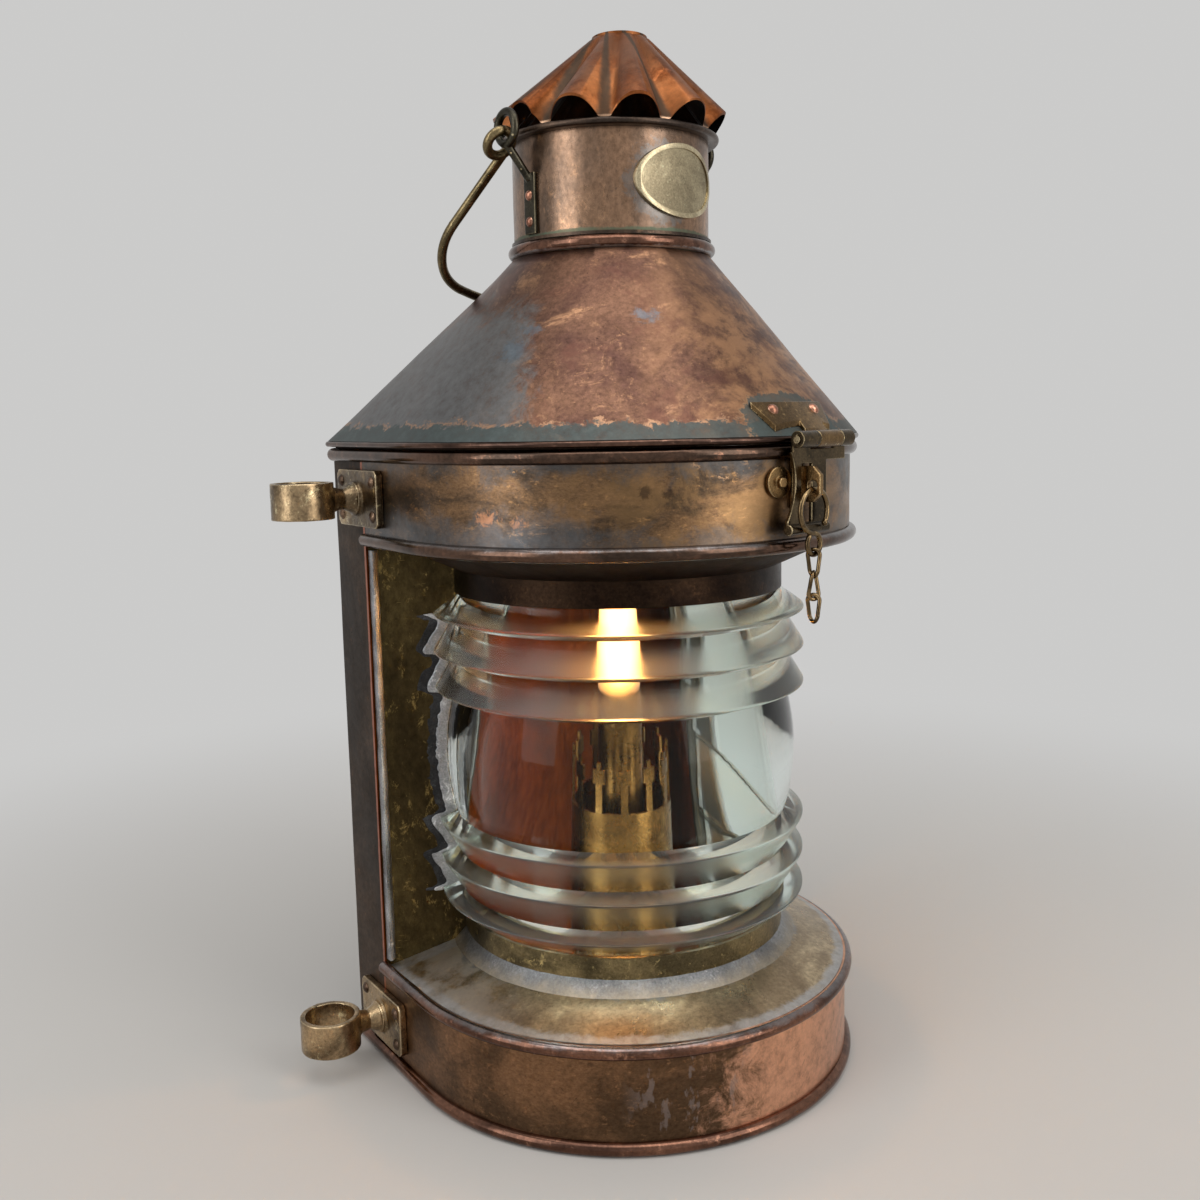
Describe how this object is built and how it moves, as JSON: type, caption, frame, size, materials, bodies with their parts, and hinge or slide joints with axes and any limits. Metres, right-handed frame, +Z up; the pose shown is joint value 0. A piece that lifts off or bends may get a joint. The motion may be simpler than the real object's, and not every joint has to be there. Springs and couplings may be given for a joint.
{
  "type": "masthead lantern",
  "caption": "Copper and brass ship lantern with a flat back, fluted wide-arc glass lens, hinged hood with neck and fluted cowl, wire bail, guide rings and hasp; shows a white light ahead.",
  "frame": {"origin": "on the lens axis at the underside of the base", "axes": "+Z up, -Y forward through the lens, +X to the lantern's left as it faces forward"},
  "size_m": [0.3524, 0.2524, 0.553],
  "materials": {
    "copper": "aged copper",
    "dark_copper": "dark patina",
    "bright_copper": "rubbed copper",
    "brass": "dull brass",
    "dark_brass": "dark brass",
    "solder": "grey solder",
    "glass": "clear",
    "glow": "bright"
  },
  "bodies": {
    "body": {"rear_shell": "dark_copper", "base_floor": "dark_copper", "base_band": "copper", "base_lower_bead": "bright_copper", "base_upper_bead": "copper", "base_top": "dark_brass", "drum_band": "copper", "drum_lower_bead": "copper", "drum_upper_bead": "copper", "soffit": "dark_copper", "hood_seat": "dark_copper", "left_screen": "dark_brass", "right_screen": "dark_brass", "screen_solder": "solder", "lens": "glass", "lower_collar": "dark_brass", "upper_collar": "dark_brass", "collar_solder": "solder", "upper_left_bracket": "brass", "upper_right_bracket": "brass", "lower_left_bracket": "brass", "lower_right_bracket": "brass", "bracket_rivets": "brass", "staple": "brass", "chain_stud": "brass", "hinge_lower_leaf": "brass", "hinge_pin": "brass", "hinge_rivets": "copper", "oil_font": "dark_brass", "burner": "brass", "burner_gallery": "brass", "lamp_holder": "dark_brass", "bulb": "glass", "filament": "glow"},
    "hood": {"hood": "copper", "hood_rim_wire": "dark_copper", "neck": "copper", "neck_bead": "bright_copper", "neck_ring": "dark_copper", "neck_flange": "dark_copper", "cowl": "bright_copper", "cowl_cap": "bright_copper", "name_plate": "brass", "left_ear": "dark_brass", "right_ear": "dark_brass", "ear_rivets": "bright_copper", "hinge_upper_leaf": "brass", "hinge_leaf_rivets": "copper", "hasp_leaf": "brass", "hasp_leaf_rivets": "bright_copper", "hasp_pin": "brass"},
    "hasp": {"hasp": "brass"},
    "bail": {"bail": "brass"},
    "safety_hook": {"safety_hook": "brass"},
    "chain_link_1": {"chain_link_1": "brass"},
    "chain_link_2": {"chain_link_2": "brass"},
    "chain_link_3": {"chain_link_3": "brass"},
    "wick_knob": {"wick_knob": "brass"}
  },
  "joints": [
    {"name": "hood_hinge", "type": "hinge", "parent": "body", "child": "hood", "pos_m": [0, 0.1075, 0.3444], "axis": [-1, 0, 0], "range_deg": [0, 100]},
    {"name": "hasp_hinge", "type": "hinge", "parent": "hood", "child": "hasp", "pos_m": [0.02589, -0.13321, 0.3449], "axis": [-0.9816, -0.1908, 0], "range_deg": [0, 135]},
    {"name": "bail_pivot", "type": "hinge", "parent": "hood", "child": "bail", "pos_m": [0, 0, 0.5003], "axis": [0.9954, 0.0958, 0], "range_deg": [0, 275]},
    {"name": "hook_swing", "type": "hinge", "parent": "hasp", "child": "safety_hook", "pos_m": [0.02039, -0.13631, 0.3217], "axis": [-0.9816, -0.1908, 0], "range_deg": [0, 60]},
    {"name": "link_1_swing", "type": "hinge", "parent": "safety_hook", "child": "chain_link_1", "pos_m": [0.02039, -0.13631, 0.2907], "axis": [0.9816, 0.1908, 0], "range_deg": [-25, 25]},
    {"name": "link_2_swing", "type": "hinge", "parent": "chain_link_1", "child": "chain_link_2", "pos_m": [0.02039, -0.13631, 0.28015], "axis": [0.1908, -0.9816, 0], "range_deg": [-25, 25]},
    {"name": "link_3_swing", "type": "hinge", "parent": "chain_link_2", "child": "chain_link_3", "pos_m": [0.02039, -0.13631, 0.2693], "axis": [0.9816, 0.1908, 0], "range_deg": [-25, 25]},
    {"name": "wick_turn", "type": "hinge", "parent": "body", "child": "wick_knob", "pos_m": [0, 0, 0.1012], "axis": [0.5, 0.866, 0], "continuous": true}
  ]
}
